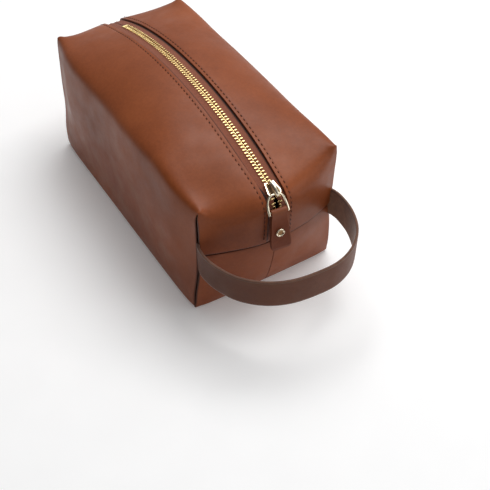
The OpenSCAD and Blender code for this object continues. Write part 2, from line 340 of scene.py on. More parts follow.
def lower_end(column, start, end, side):
    """Points from the bottom's edge, round the foot and up the end face to the level seam."""
    x2 = face_x(column, 4)
    p2 = (x2, end * face_out(x2, 4), 4)
    p1 = ((start[0] + x2) / 2, end * (HALF_L - 1.2), 0)
    out = [bezier(start, p1, p2, t) for t in (0.25, 0.5, 0.75, 1.0)]
    last = seam_height(x2, side) - 1.5
    for k in range(1, 10):
        z = lerp(4, last, k / 9)
        x = face_x(column, z)
        pinch = 1.0 * math.exp(-(last - z) / 7)
        out.append((x, end * (face_out(x, z) - pinch), z))
    return out


def rolled_edge(sheet, edge, normal, toward, radius, sweep, tail):
    """Turns an edge inward: a roll of the given sweep, then a straight seam allowance."""
    rows = [edge]
    turns = 4
    for k in range(1, turns + 2):
        row = []
        for i in edge:
            p = Vector(sheet.points[i])
            n, d, r = Vector(normal(p)), Vector(toward(p)), radius(p)
            a = sweep * min(k, turns) / turns
            q = p - n * r + (n * math.cos(a) + d * math.sin(a)) * r
            if k > turns:
                q += (d * math.cos(a) - n * math.sin(a)) * tail * min(1.0, r)
            # The weight given here is painted shade: it darkens the rolled seam edge toward the panel's near-black last
            # colour, and it thins the leather there.
            row.append(sheet.point(q, min(1.0, r) * (1.0 if k > 1 else 0.5)))
        rows.append(row)
    sheet.grid(rows)


def corner_radius(p):
    return SEAM_R * corner_open(p.z)


def leather_sheet(side, turned):
    """One panel: bottom, side wall and top, with both halves of each end folded on from them."""
    sheet = Sheet()
    body = []
    for column in COLUMNS:
        reach = column_reach(column)
        body.append(sheet.row([body_point(column, lerp(-reach, reach, s)) for s in LENGTHS]))
    sheet.grid(body)
    for end in (FRONT, REAR):
        at = 0 if end == FRONT else -1
        tops = []
        for k in range(HIGH_CORNER, len(COLUMNS)):
            start = sheet.points[body[k][at]]
            tops.append([body[k][at], *sheet.row(upper_end(COLUMNS[k], start, end, side))])
        feet = []
        for k in range(LOW_CORNER + 1):
            start = sheet.points[body[k][at]]
            feet.append([body[k][at], *sheet.row(lower_end(COLUMNS[k], start, end, side))])
        for block in (tops, feet):
            sheet.grid([row[::-1] for row in block] if end == FRONT else block)
        if turned:
            turn_in_end(sheet, body, tops, feet, end, at)
    if turned:
        rolled_edge(sheet, body[0][::-1], lambda p: (0, 0, -1), lambda p: (-1, 0, 0),
                    lambda p: 0.5, math.pi / 2, 3)
    return sheet


def turn_in_end(sheet, body, tops, feet, end, at):
    """The seam allowances of one end: both corner edges, the level seam and the middle seam."""
    diagonal = math.radians(135)
    wall = [body[k][at] for k in range(LOW_CORNER, HIGH_CORNER + 1)]
    outward = (lambda p: (0, end, 0))
    edges = [
        (wall if end == REAR else wall[::-1], lambda p: (1, 0, 0), outward, corner_radius, diagonal, 4),
        (tops[0] if end == REAR else tops[0][::-1], outward, lambda p: (1, 0, 0), corner_radius, diagonal, 4),
        (feet[-1][::-1] if end == REAR else feet[-1], outward, lambda p: (1, 0, 0), corner_radius, diagonal, 4),
        ([c[-1] for c in tops][::end], outward, lambda p: (0, 0, -1), lambda p: 1.9, math.pi / 2, 3),
        ([c[-1] for c in feet][::end], outward, lambda p: (0, 0, 1), lambda p: 1.1, math.pi / 2, 3),
        (feet[0] if end == REAR else feet[0][::-1], outward, lambda p: (-1, 0, 0), lambda p: 0.5,
         math.pi / 2, 3),
    ]
    for edge, normal, toward, radius, sweep, tail in edges:
        rolled_edge(sheet, edge, normal, toward, radius, sweep, tail)


def soften(p, side):
    """Low, wide unevenness that hand-turned leather keeps, the same on every run."""
    at = Vector((p[0] * side, p[1], p[2]))
    push = noise.noise_vector(at / 46 + Vector((3.1, 7.7, 1.3))) * 1.1
    push += noise.noise_vector(at / 21 + Vector((8.3, 2.9, 5.6))) * 0.35
    keep = smooth((abs(p[0]) - GAP) / 25) * smooth(p[2] / 18)
    return Vector(p) + push * keep


def finish_sheet(sheet, name, side):
    """Settles and softens a sheet, sets it on its side of the bag and turns its faces outward."""
    points = [soften(settle(p, side), side) for p in sheet.points]
    points = [(p[0] * side, p[1], p[2]) for p in points]
    faces = sheet.quads if side == RIGHT else [q[::-1] for q in sheet.quads]
    mesh = mesh_from(name, points, faces, sheet.edge_tone_and_painted_shade)
    bm = bmesh.new()
    bm.from_mesh(mesh)
    bmesh.ops.recalc_face_normals(bm, faces=bm.faces)
    mid = Vector((0, 0, 0.05))
    facing = sum(f.normal.dot(f.calc_center_median() - mid) * f.calc_area() for f in bm.faces)
    if facing < 0:
        bmesh.ops.reverse_faces(bm, faces=bm.faces)
    bm.to_mesh(mesh)
    bm.free()
    return mesh


# ---------------------------------------------------------------- swept and turned shapes

def tube(points, radii, sides, flat=1.0):
    """A closed rod along points; flat stretches it sideways when over 1 and thins it when under."""
    points = [Vector(p) for p in points]
    verts, faces = [], []
    tangents = [(b - a).normalized() for a, b in zip([points[0], *points[:-1]], [*points[1:], points[-1]])]
    tangents[0], tangents[-1] = (points[1] - points[0]).normalized(), (points[-1] - points[-2]).normalized()
    up = tangents[0].orthogonal().normalized()
    for p, t, r in zip(points, tangents, radii):
        up = (up - t * up.dot(t)).normalized()
        across = t.cross(up)
        for k in range(sides):
            a = 2 * math.pi * k / sides
            verts.append(p + (across * math.cos(a) + up * flat * math.sin(a)) * r)
    for i in range(len(points) - 1):
        for k in range(sides):
            j = (k + 1) % sides
            faces.append((i * sides + k, i * sides + j, (i + 1) * sides + j, (i + 1) * sides + k))
    faces.append(tuple(range(sides))[::-1])
    faces.append(tuple(range((len(points) - 1) * sides, len(points) * sides)))
    return verts, faces


def turned(profile, segments=32):
    """A closed solid turned about Z from (radius, height) points, the first and last on the axis."""
    verts, faces = [Vector((0, 0, profile[0][1]))], []
    for r, z in profile[1:-1]:
        verts += [Vector((r * math.cos(2 * math.pi * k / segments), r * math.sin(2 * math.pi * k / segments), z))
                  for k in range(segments)]
    verts.append(Vector((0, 0, profile[-1][1])))
    last = len(verts) - 1
    rings = len(profile) - 2
    for k in range(segments):
        j = (k + 1) % segments
        faces.append((0, 1 + k, 1 + j))
        for i in range(rings - 1):
            a, b = 1 + i * segments, 1 + (i + 1) * segments
            faces.append((a + k, b + k, b + j, a + j))
        faces.append((last, last - segments + j, last - segments + k))
    return verts, faces


def joined(parts):
    verts, faces = [], []
    for v, f in parts:
        n = len(verts)
        verts += list(v)
        faces += [tuple(i + n for i in q) for q in f]
    return verts, faces


def moved(part, matrix):
    return [matrix @ Vector(v) for v in part[0]], part[1]


def slab(outline, z0, z1):
    """An outline in X and Y given thickness between two heights."""
    n = len(outline)
    verts = [Vector((x, y, z)) for z in (z0, z1) for x, y in outline]
    faces = [tuple(range(n))[::-1], tuple(range(n, 2 * n))]
    faces += [(k, (k + 1) % n, n + (k + 1) % n, n + k) for k in range(n)]
    return verts, faces


def on_arc(angle, radius):
    """Stands a shape on the zipper's arc: its X across, Y toward the rear, Z outward."""
    return (Matrix.Translation((0, 0, ARC_Z)) @ Matrix.Rotation(angle, 4, "X")
            @ Matrix.Translation((0, 0, radius)))


def on_turn(angle, radius):
    """The same on the tight roll at the front end of the zipper."""
    return (Matrix.Translation((0, -END_Y, END_Z)) @ Matrix.Rotation(angle, 4, "X")
            @ Matrix.Translation((0, 0, radius)))


def path_frame(distance, depth):
    """Place and direction on the zipper's path: distance runs from the middle, positive to the front."""
    end = FRONT if distance >= 0 else REAR
    s = abs(distance)
    arc_length = END_ANGLE * ARC_R
    turn_length = (math.pi / 2 - END_ANGLE) * END_R
    if s <= arc_length:
        a = s / ARC_R
        p = Vector((0, -(ARC_R - depth) * math.sin(a), ARC_Z + (ARC_R - depth) * math.cos(a)))
        n = Vector((0, -math.sin(a), math.cos(a)))
    elif s <= arc_length + turn_length:
        a = END_ANGLE + (s - arc_length) / END_R
        p = Vector((0, -END_Y - (END_R - depth) * math.sin(a), END_Z + (END_R - depth) * math.cos(a)))
        n = Vector((0, -math.sin(a), math.cos(a)))
    else:
        drop = s - arc_length - turn_length
        n = Vector((0, -1, 0))
        p = Vector((0, -FACE_Y + depth + 0.0012 * drop ** 2, END_Z - drop))
    if end == REAR:
        p.y, n.y = -p.y, -n.y
    return p, n


PATH_HALF = END_ANGLE * ARC_R + (math.pi / 2 - END_ANGLE) * END_R + END_Z - TAPE_END_Z


# ---------------------------------------------------------------- materials

def node_material(name):
    m = bpy.data.materials.new(name)
    m.use_nodes = True
    nodes, links = m.node_tree.nodes, m.node_tree.links
    nodes.clear()
    out = nodes.new("ShaderNodeOutputMaterial")
    shader = nodes.new("ShaderNodeBsdfPrincipled")
    links.new(shader.outputs[0], out.inputs[0])
    return m, nodes, links, shader


def noise_node(nodes, links, vector, scale, detail=4.0, rough=0.55):
    n = nodes.new("ShaderNodeTexNoise")
    n.inputs["Scale"].default_value = scale
    n.inputs["Detail"].default_value = detail
    n.inputs["Roughness"].default_value = rough
    links.new(vector, n.inputs["Vector"])
    return n.outputs["Fac"]


def ramp_node(nodes, links, value, stops):
    r = nodes.new("ShaderNodeValToRGB")
    while len(r.color_ramp.elements) < len(stops):
        r.color_ramp.elements.new(0.5)
    for e, (at, color) in zip(r.color_ramp.elements, stops):
        e.position = at
        e.color = (*color, 1)
    links.new(value, r.inputs["Fac"])
    return r.outputs["Color"]


def mix_color(nodes, links, factor, a, b, mode="MIX"):
    m = nodes.new("ShaderNodeMix")
    m.data_type = "RGBA"
    m.blend_type = mode
    for socket, value in ((m.inputs[0], factor), (m.inputs[6], a), (m.inputs[7], b)):
        if hasattr(value, "is_output"):
            links.new(value, socket)
        else:
            socket.default_value = value
    return m.outputs[2]


def math_node(nodes, links, operation, a, b=None):
    m = nodes.new("ShaderNodeMath")
    m.operation = operation
    for socket, value in zip(m.inputs, (a, b)):
        if value is None:
            continue
        if hasattr(value, "is_output"):
            links.new(value, socket)
        else:
            socket.default_value = value
    return m.outputs[0]


def bump_node(nodes, links, height, strength, distance, normal=None):
    b = nodes.new("ShaderNodeBump")
    b.inputs["Strength"].default_value = strength
    b.inputs["Distance"].default_value = distance
    links.new(height, b.inputs["Height"])
    if normal is not None:
        links.new(normal, b.inputs["Normal"])
    return b.outputs["Normal"]


def leather_material(name, dark, mid, light, edge, roughness):
    """Smooth oiled leather: cloudy tone, fine pores, faint wrinkles, and a last colour mixed in by a per-point weight:
    painted shade on the panels' rolled seam edges, a lighter band round the tab's fold and along its rims, and the
    strap's pale cut edges.
    """
    m, nodes, links, shader = node_material(name)
    at = nodes.new("ShaderNodeTexCoord").outputs["Object"]
    cloud = noise_node(nodes, links, at, 14, 5, 0.6)
    pores = nodes.new("ShaderNodeTexVoronoi")
    pores.inputs["Scale"].default_value = 900
    links.new(at, pores.inputs["Vector"])
    grain = noise_node(nodes, links, at, 420, 6, 0.65)
    wrinkle = noise_node(nodes, links, at, 70, 3, 0.5)
    tone = ramp_node(nodes, links, cloud, [(0.28, dark), (0.5, mid), (0.74, light)])
    fleck = ramp_node(nodes, links, grain, [(0.35, (0.90, 0.89, 0.88)), (0.65, (1.06, 1.05, 1.05))])
    tone = mix_color(nodes, links, 0.8, tone, fleck, "MULTIPLY")
    edge_tone_and_painted_shade = nodes.new("ShaderNodeAttribute")
    edge_tone_and_painted_shade.attribute_name = "edge_tone_and_painted_shade"
    # Mixes in the last colour by the per-point weight: painted shade on the panels' rolled seam edges.
    tone = mix_color(nodes, links, edge_tone_and_painted_shade.outputs["Fac"], tone, (*edge, 1))
    links.new(tone, shader.inputs["Base Color"])
    rough = ramp_node(nodes, links, wrinkle, [(0.3, (roughness - 0.07,) * 3), (0.7, (roughness + 0.07,) * 3)])
    links.new(rough, shader.inputs["Roughness"])
    shader.inputs["Specular IOR Level"].default_value = 0.22
    n = bump_node(nodes, links, wrinkle, 0.16, 0.0006)
    n = bump_node(nodes, links, grain, 0.22, 0.00018, n)
    n = bump_node(nodes, links, pores.outputs["Distance"], 0.14, 0.00010, n)
    links.new(n, shader.inputs["Normal"])
    return m


def suede_material(name, dark, light, sheen=0.35):
    """The flesh side of the leather: matt, fibrous and soft."""
    m, nodes, links, shader = node_material(name)
    at = nodes.new("ShaderNodeTexCoord").outputs["Object"]
    nap = noise_node(nodes, links, at, 260, 8, 0.7)
    cloud = noise_node(nodes, links, at, 35, 3, 0.5)
    both = math_node(nodes, links, "ADD", nap, math_node(nodes, links, "MULTIPLY", cloud, 0.5))
    links.new(ramp_node(nodes, links, both, [(0.55, dark), (0.95, light)]), shader.inputs["Base Color"])
    shader.inputs["Roughness"].default_value = 0.86
    shader.inputs["Sheen Weight"].default_value = sheen
    shader.inputs["Sheen Roughness"].default_value = 0.5
    links.new(bump_node(nodes, links, nap, 0.5, 0.0003), shader.inputs["Normal"])
    return m


def tape_material():
    """Herringbone tape: slanting ribs that turn back in bands along the tape."""
    m, nodes, links, shader = node_material("tape_twill")
    uv = nodes.new("ShaderNodeTexCoord").outputs["UV"]
    split = nodes.new("ShaderNodeSeparateXYZ")
    links.new(uv, split.inputs[0])
    across, along = split.outputs[0], split.outputs[1]
    band = math_node(nodes, links, "PINGPONG", across, 1.6)
    slant = math_node(nodes, links, "ADD", band, along)
    rib = math_node(nodes, links, "SINE", math_node(nodes, links, "MULTIPLY", slant, 2 * math.pi / 0.85))
    rib = math_node(nodes, links, "ADD", math_node(nodes, links, "MULTIPLY", rib, 0.5), 0.5)
    at = nodes.new("ShaderNodeTexCoord").outputs["Object"]
    fuzz = noise_node(nodes, links, at, 600, 4, 0.6)
    tone = mix_color(nodes, links, rib, (0.150, 0.038, 0.016, 1), (0.335, 0.094, 0.042, 1))
    # Painted shade: the tape darkens to near black from about 7.4 mm out from the middle, where it runs under the
    # leather edges.
    painted_shade_under_leather = ramp_node(nodes, links, math_node(nodes, links, "MULTIPLY", across, 0.1),
                      [(0.74, (1, 1, 1)), (0.86, (0.10, 0.08, 0.07))])
    tone = mix_color(nodes, links, 1.0, tone, painted_shade_under_leather, "MULTIPLY")
    shade = ramp_node(nodes, links, fuzz, [(0.3, (0.8, 0.8, 0.8)), (0.7, (1.1, 1.1, 1.1))])
    links.new(mix_color(nodes, links, 0.7, tone, shade, "MULTIPLY"), shader.inputs["Base Color"])
    shader.inputs["Roughness"].default_value = 0.8
    shader.inputs["Sheen Weight"].default_value = 0.1
    n = bump_node(nodes, links, rib, 0.6, 0.0002)
    links.new(bump_node(nodes, links, fuzz, 0.3, 0.0001, n), shader.inputs["Normal"])
    return m


def cloth_material(name, dark, light, pitch):
    """Plain woven cloth, its threads crossing at the given pitch in millimetres."""
    m, nodes, links, shader = node_material(name)
    at = nodes.new("ShaderNodeTexCoord").outputs["Object"]
    split = nodes.new("ShaderNodeSeparateXYZ")
    links.new(at, split.inputs[0])
    turns = 2 * math.pi / (pitch * MM)
    waves = [math_node(nodes, links, "SINE", math_node(nodes, links, "MULTIPLY", split.outputs[k], turns))
             for k in range(3)]
    weave = math_node(nodes, links, "ADD", math_node(nodes, links, "MULTIPLY", waves[0], waves[1]), waves[2])
    weave = math_node(nodes, links, "MULTIPLY", math_node(nodes, links, "ADD", weave, 2.0), 0.25)
    cloud = noise_node(nodes, links, at, 40, 3, 0.5)
    tone = mix_color(nodes, links, math_node(nodes, links, "MULTIPLY", weave, cloud), (*dark, 1), (*light, 1))
    links.new(tone, shader.inputs["Base Color"])
    shader.inputs["Roughness"].default_value = 0.75
    links.new(bump_node(nodes, links, weave, 0.4, 0.0001), shader.inputs["Normal"])
    return m


def metal_material(name, color, roughness, wear):
    """Plated brass: slightly uneven gloss, with faint tarnish in patches."""
    m, nodes, links, shader = node_material(name)
    at = nodes.new("ShaderNodeTexCoord").outputs["Object"]
    patch = noise_node(nodes, links, at, 180, 4, 0.6)
    fine = noise_node(nodes, links, at, 1400, 4, 0.6)
    dull = tuple(c * wear for c in color)
    links.new(ramp_node(nodes, links, patch, [(0.3, dull), (0.6, color)]), shader.inputs["Base Color"])
    shader.inputs["Metallic"].default_value = 1.0
    rough = ramp_node(nodes, links, fine, [(0.3, (roughness * 0.8,) * 3), (0.7, (roughness * 1.3,) * 3)])
    links.new(rough, shader.inputs["Roughness"])
    links.new(bump_node(nodes, links, fine, 0.06, 0.00005), shader.inputs["Normal"])
    return m


# Each leather's last colour is mixed in by its per-point weight: painted shade on the panel's rolled seam edges, a
# lighter band on the tab, and the strap's pale cut edges.
PANEL = leather_material("panel_leather", (0.192, 0.045, 0.012), (0.243, 0.060, 0.017),
                         (0.302, 0.079, 0.023), (0.055, 0.014, 0.006), 0.44)
TAB = leather_material("tab_leather", (0.145, 0.034, 0.013), (0.185, 0.045, 0.017),
                       (0.225, 0.060, 0.023), (0.260, 0.080, 0.034), 0.48)
STRAP = leather_material("strap_leather", (0.085, 0.025, 0.010), (0.108, 0.033, 0.014),
                         (0.135, 0.043, 0.019), (0.140, 0.052, 0.025), 0.5)
SUEDE = suede_material("strap_suede", (0.140, 0.056, 0.022), (0.270, 0.118, 0.052))
RAW_EDGE = suede_material("cut_edge", (0.085, 0.032, 0.016), (0.155, 0.064, 0.034))
PANEL_EDGE = suede_material("turned_edge", (0.075, 0.022, 0.008), (0.130, 0.040, 0.015), 0)
TAPE = tape_material()
THREAD = cloth_material("waxed_thread", (0.060, 0.015, 0.007), (0.130, 0.036, 0.018), 0.35)
LINING = cloth_material("lining_weave", (0.130, 0.085, 0.055), (0.300, 0.210, 0.145), 0.6)
BRASS = metal_material("tooth_brass", (0.86, 0.66, 0.30), 0.24, 0.78)
# A darker brass painted into the rivet cap's recessed centre as its dark reflection.
PAINTED_REFLECTION_BRASS = metal_material("painted_reflection_brass", (0.42, 0.25, 0.12), 0.34, 0.6)
# A dark brass standing in for the painted shade inside the slider, between its rims and the bridge.
PAINTED_SHADE_BRASS = metal_material("painted_shade_brass", (0.150, 0.095, 0.050), 0.42, 0.6)
GOLD = metal_material("polished_brass", (0.97, 0.87, 0.66), 0.10, 0.93)


# ---------------------------------------------------------------- pieces

def share_weights(obj, share):
    """Bakes a piece's placement into its mesh and works out each point's share of the bend from the bag to a flap; the
    shares are not kept.
    """
    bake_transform(obj)
    values = [share(v.co / MM) for v in obj.data.vertices]


def modifier(obj, kind, **settings):
    m = obj.modifiers.new(kind.lower(), kind)
    for key, value in settings.items():
        setattr(m, key, value)
    return m


def side_name(side):
    return "left" if side == LEFT else "right"


def make_panel(side):
    """A leather panel, thinner where its edges are rolled in so the seams stay crisp."""
    sheet = leather_sheet(side, True)
    mesh = finish_sheet(sheet, side_name(side) + "_leather", side)
    obj = new_object(side_name(side) + "_leather_panel", mesh, PANEL, PANEL_EDGE)
    share_weights(obj, lambda p: flap_share(*p))
    modifier(obj, "SUBSURF", levels=1, render_levels=2)
    full = obj.vertex_groups.new(name="full_thickness")
    full.add([i for i, w in enumerate(sheet.edge_tone_and_painted_shade) if w == 0], 1.0, "REPLACE")
    modifier(obj, "SOLIDIFY", thickness=LEATHER * MM, offset=-1.0, use_rim=True,
             vertex_group="full_thickness", thickness_vertex_group=0.12)
    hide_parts(side_name(side) + "_body_panel", side_name(side) + "_top_panel")


def make_lining(side):
    """The lining cloth, the panel's own shape set inward with loose folds."""
    mesh = finish_sheet(leather_sheet(side, False), side_name(side) + "_lining", side)
    mesh.attributes.remove(mesh.attributes["edge_tone_and_painted_shade"])
    normals = [v.normal.copy() for v in mesh.vertices]
    for v, n in zip(mesh.vertices, normals):
        fold = noise.noise(v.co * 55) * 0.9
        v.co -= n * (3.3 + fold) * MM
        v.co.x = side * max(abs(v.co.x), 0.0003)
    obj = new_object(side_name(side) + "_lining_cloth", mesh, LINING)
    share_weights(obj, lambda p: flap_share(*p))
    modifier(obj, "SUBSURF", levels=1, render_levels=1)
    modifier(obj, "SOLIDIFY", thickness=0.4 * MM, offset=-1.0)
    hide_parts("body_lining", side_name(side) + "_flap_lining")


def tape_share(p):
    return lens(p.y) if p.z > WALL_TOP - EDGE_R else 0.0


def make_tape(side):
    """One zipper tape, parting from the other in front of the slider."""
    columns = (0.35, 1.2, 2.0, 2.6, 3.2, 4.2, 6.5, 9, 12, 15.5)
    rows = 150
    points, uvs, faces = [], [], []
    for k in range(rows + 1):
        s = lerp(PATH_HALF, -PATH_HALF, k / rows)
        for x in columns:
            bead = 0.35 * math.exp(-((x - 2.6) / 0.7) ** 2)
            p, n = path_frame(s, TAPE_DEPTH - bead)
            parted = 1.6 * smooth((-p.y - 129.5) / 4) * (1 - x / columns[-1])
            points.append((side * (x + parted), p.y, p.z))
            # Shifts the tape's painted shade line toward the teeth at the front end: by 2.2 mm on the left and 0.4 mm
            # on the right.
            shaded = (2.2 if side == LEFT else 0.4) * smooth((-p.y - 118) / 10)
            uvs.append((x + shaded, s))
    width = len(columns)
    for k in range(rows):
        for i in range(width - 1):
            a = k * width + i
            quad = (a, a + 1, a + width + 1, a + width)
            faces.append(quad if side == LEFT else quad[::-1])
    mesh = mesh_from(side_name(side) + "_tape", points, faces, uvs=uvs)
    obj = new_object(side_name(side) + "_zipper_tape", mesh, TAPE)
    share_weights(obj, tape_share)
    modifier(obj, "SOLIDIFY", thickness=0.6 * MM, offset=0.0)
    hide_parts(side_name(side) + "_tape", "front_tape_ends", "rear_tape_ends")


def tooth_shape(side):
    """One tooth: two rounded legs over the tape and a narrower head that reaches past the middle."""
    legs = [(0.95, -0.52), (2.75, -0.56), (3.1, -0.32), (3.1, 0.32), (2.75, 0.56), (0.95, 0.52)]
    head = [(-0.5, -0.26), (-0.25, -0.42), (1.0, -0.42), (1.0, 0.42), (-0.25, 0.42), (-0.5, 0.26)]
    part = joined([slab(legs, -1.35, 1.35), slab(head, -0.8, 0.8)])
    if side == RIGHT:
        return part
    return [Vector((-v.x, v.y, v.z)) for v in part[0]], [f[::-1] for f in part[1]]


def make_teeth(side):
    """A row of teeth up to the slider, and the few seen open in front of it."""
    parts, shares = [], []
    shape = tooth_shape(side)
    last = SLIDER_ANGLE - 0.4 * TOOTH_STEP
    angle = ROW_START + (TOOTH_STEP / 2 if side == RIGHT else 0)
    while angle < last:
        parts.append(moved(shape, on_arc(angle, TAPE_R)))
        shares += [lens(TAPE_R * math.sin(angle))] * len(shape[0])
        angle += TOOTH_STEP
    turn_r = END_R - TAPE_DEPTH
    for k in range(3):
        place = on_turn(END_ANGLE + 0.20 + 0.27 * k, turn_r) @ Matrix.Translation((side * (0.9 + 0.25 * k), 0, 0))
        parts.append(moved(shape, place))
        shares += [0.0] * len(shape[0])
    verts, faces = joined(parts)
    obj = new_object(side_name(side) + "_tooth_row", mesh_from(side_name(side) + "_teeth", verts, faces), BRASS)
    share_weights(obj, lambda p: 0.0)
    modifier(obj, "BEVEL", width=0.16 * MM, segments=2, limit_method="ANGLE")
    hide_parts(side_name(side) + "_teeth", "front_teeth", "rear_teeth")


def make_stitches(side):
    """Thread laid in short slanted stitches beside the zipper, each dipping into the leather at its ends."""
    parts, shares = [], []
    count = int(2 * (PATH_HALF - 5) / STITCH_STEP)
    for k in range(count):
        s = (PATH_HALF - 5) - (k + 0.5) * STITCH_STEP
        if abs(abs(s) - PATH_HALF) < 4:
            continue
        run = []
        for t in (-1.0, -0.8, -0.4, 0, 0.4, 0.8, 1.0):
            p, n = path_frame(s + t * 1.1, 0)
            lift = 0.12 - 0.75 * abs(t) ** 4
            q = p + n * lift
            run.append(Vector((side * (STITCH_X + 0.12 * t - zip_taper(q.y, q.z)), q.y, q.z)))
        radii = (0.14, 0.24, 0.29, 0.3, 0.29, 0.24, 0.14)
        part = tube(run, radii, 6)
        parts.append(part)
        y = path_frame(s, 0)[0].y
        share = lens(y) if run[3].z > WALL_TOP - EDGE_R else 0.0
        shares += [share] * len(part[0])
    verts, faces = joined(parts)
    obj = new_object(side_name(side) + "_stitch_row", mesh_from(side_name(side) + "_thread", verts, faces), THREAD)
    share_weights(obj, lambda p: 0.0)
    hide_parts(side_name(side) + "_stitches", "end_stitches")


def make_stops():
    """Two clips at the front end and one across both tapes at the rear end."""
    turn_r = END_R - TAPE_DEPTH
    clip = slab([(-1.0, -1.6), (1.0, -1.6), (1.0, 1.6), (-1.0, 1.6)], -1.0, 1.0)
    parts = [moved(clip, on_turn(END_ANGLE + 1.0, turn_r) @ Matrix.Translation((x * 2.6, 0, 0)))
             for x in (LEFT, RIGHT)]
    verts, faces = joined(parts)
    tops = new_object("zipper_top_stops", mesh_from("top_clips", verts, faces), BRASS)
    clip = slab([(-3.0, -1.2), (3.0, -1.2), (3.0, 1.2), (-3.0, 1.2)], -1.3, 1.3)
    verts, faces = moved(clip, on_arc(BOTTOM_STOP, TAPE_R))
    bottom = new_object("zipper_bottom_stop", mesh_from("bottom_clip", verts, faces), BRASS)
    for obj, node in ((tops, "top_stops"), (bottom, "bottom_stop")):
        modifier(obj, "BEVEL", width=0.5 * MM, segments=3)
        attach(obj, "bag")
        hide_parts(node)


def make_slider():
    """Two flared wings with rims and flanks, and the bridge that holds the fork."""
    place = on_arc(SLIDER_ANGLE, TAPE_R)
    half = [(3.9, 5.5), (4.1, 3.9), (4.5, 1.6), (5.0, -0.6), (5.45, -2.6), (5.3, -4.3), (4.6, -5.4),
            (3.4, -5.5), (2.2, -4.8), (1.2, -4.2)]
    outline = half + [(-x, y) for x, y in half[::-1]]
    wings = [slab(outline, 1.75, 2.85), slab(outline, -2.85, -1.75)]
    inner = [(3.4, 5.1), (3.55, 3.8), (3.95, 1.6), (4.45, -0.6), (4.85, -2.6)]
    outer = [(4.0, 5.1), (4.15, 3.8), (4.55, 1.6), (5.05, -0.6), (5.4, -2.6)]
    flank = outer + inner[::-1]
    for x in (1, -1):
        for z0, z1 in ((0.6, 1.8), (-1.8, -0.6)):
            wings.append(slab([(x * a, b) for a, b in flank], z0, z1))
    wings.append(slab([(1.1 * math.cos(a), -2.9 + 1.4 * math.sin(a)) for a in
                       [k * math.pi / 8 for k in range(16)]], -1.8, 1.8))
    edge = half[:8]
    for x in (1, -1):
        rim = [(x * a, b) for a, b in edge] + [(x * (a - 0.9), b * 0.95) for a, b in edge[::-1]]
        wings.append(slab(rim, 2.7, 3.35))
    bright = sum(len(part[1]) for part in wings)
    # Painted shade: a thin dark plate inside the top wing's rims, where the slider lies in shadow between its rims and
    # the bridge.
    wings.append(slab([(a * 0.76, b * 0.88) for a, b in outline], 2.75, 2.92))
    verts, faces = moved(joined(wings), place)
    body = new_object("slider_wings", mesh_from("slider_wings", verts, faces), GOLD, PAINTED_SHADE_BRASS)
    for f in body.data.polygons:
        f.material_index = 1 if f.index >= bright else 0
    modifier(body, "BEVEL", width=0.3 * MM, segments=3, limit_method="ANGLE")
    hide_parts("slider_body")

    arch = catmull([(0, 4.4, 2.6), (0, 4.1, 4.6), (0, 2.2, 6.0), (0, -0.8, 6.7), (0, -3.8, 6.6),
                    (0, -6.2, 5.7), (0, -7.0, 4.1), (0, -6.2, 2.8)], 5)
    radii = [lerp(1.5, 1.0, smooth(k / (len(arch) - 1) * 1.4)) for k in range(len(arch))]
    ball = turned([(0, -1.75), (1.2, -1.3), (1.75, 0), (1.3, 1.2), (0.6, 1.65), (0, 1.75)], 20)
    ball = moved(ball, Matrix.Translation((0, 3.6, 5.7)))
    verts, faces = moved(joined([tube(arch, radii, 14, 1.4), ball]), place)
    bridge = new_object("slider_bridge_arch", mesh_from("slider_bridge", verts, faces), GOLD)
    modifier(bridge, "SUBSURF", levels=1, render_levels=1)
    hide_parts("slider_bridge")
    for obj in (body, bridge):
        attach(obj, "slider")


def askew(points):
    """The puller hangs a little to the left and turned toward the right, as a loose fork does."""
    turn = (Matrix.Translation(Vector(HINGE) + Vector((-1.1, 0, 0))) @ Matrix.Rotation(-0.1, 4, "Z")
            @ Matrix.Translation(-Vector(HINGE)))
    return [turn @ Vector(p) for p in points]


def make_fork():
    """The wishbone hung on the bridge, and the bar across its feet."""
    hinge, bar = Vector(HINGE), Vector(BAR)
    along = (bar - hinge).normalized()
    reach = (bar - hinge).length
    out = Vector((0, along.z, -along.y)) * -1

    def at(x, d, lift=0.0):
        p = hinge + along * d + out * lift
        return (x, p.y, p.z)

    half = [at(0, 0), at(2.4, 0.1), at(4.5, 1.1, 0.2), at(6.1, 3.4, 0.6), at(7.0, 6.6, 0.8),
            at(7.45, reach - 2.5, 0.4), at(7.5, reach, 0.0), at(7.4, reach + 1.9, -0.5)]
    run = catmull([(-x, y, z) for x, y, z in half[:0:-1]] + half, 5)
    n = len(run)
    radii = [lerp(0.74, 1.02, smooth(abs(2 * k / (n - 1) - 1) * 1.6)) for k in range(n)]
    radii[0] = radii[-1] = 0.6
    verts, faces = tube(askew(run), radii, 14)
    fork = new_object("wishbone_fork", mesh_from("wishbone", verts, faces), GOLD)
    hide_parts("puller_fork")
    rod = [(x, bar.y, bar.z) for x in (-7.6, -7.3, 0, 7.3, 7.6)]
    verts, faces = tube(askew(rod), (0.4, 0.5, 0.5, 0.5, 0.4), 16)
    pin = new_object("fork_bar", mesh_from("fork_bar", verts, faces), GOLD)
    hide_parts("puller_bar")
    for obj in (fork, pin):
        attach(obj, "puller")


TAB_LEAN = math.radians(5)
TAB_LENGTH = 34.0
RIVET_DROP = 18.6


def at_bar():
    return Matrix.Translation(BAR) @ Matrix.Rotation(-TAB_LEAN, 4, "X")


